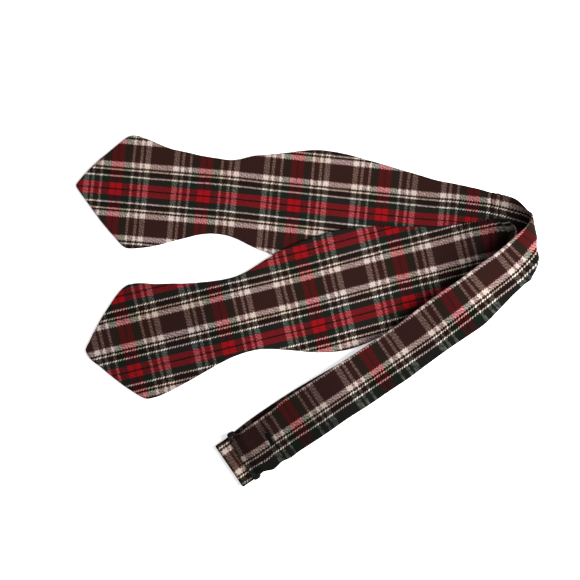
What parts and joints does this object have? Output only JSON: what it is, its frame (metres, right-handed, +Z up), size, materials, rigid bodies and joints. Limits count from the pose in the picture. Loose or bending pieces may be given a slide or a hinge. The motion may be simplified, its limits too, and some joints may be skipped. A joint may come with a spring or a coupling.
{
  "type": "bow tie",
  "caption": "Self-tie bow tie with pointed ends in tartan cotton twill, lying folded in half at its adjuster ring with both neckbands stacked and both blades fanned out.",
  "frame": {"origin": "under the middle of the bounding box, on the surface the tie lies on", "axes": "+Z up from the surface; +X from the pointed blade ends towards the turn; +Y from the adjuster end towards the blades"},
  "size_m": [0.2588, 0.1972, 0.0138],
  "materials": {
    "tartan_front": "matt cotton twill, woven tartan: brown, red, bottle green, black, cream and white",
    "tartan_back": "matt cotton twill, the same tartan cut from another place in the cloth",
    "interlining": "brushed cotton canvas, undyed",
    "black_enamel": "black enamel, semi-gloss",
    "tack_thread": "black sewing thread, satin stitch"
  },
  "bodies": {
    "half_a": {"blade_a_front_panel": "tartan_front", "blade_a_interlining": "interlining", "blade_a_back_panel": "tartan_back", "band_a_front_panel": "tartan_front", "band_a_interlining": "interlining", "band_a_back_panel": "tartan_back", "adjuster_ring": "black_enamel", "bar_tack": "tack_thread"},
    "half_b": {"blade_b_front_panel": "tartan_front", "blade_b_interlining": "interlining", "blade_b_back_panel": "tartan_back", "band_b_front_panel": "tartan_front", "band_b_interlining": "interlining", "band_b_back_panel": "tartan_back"}
  },
  "joints": [
    {"name": "adjuster_slide", "type": "slide", "parent": "half_a", "child": "half_b", "axis": [-0.8261, -0.5635, 0], "range_m": [0, 0.012]}
  ]
}
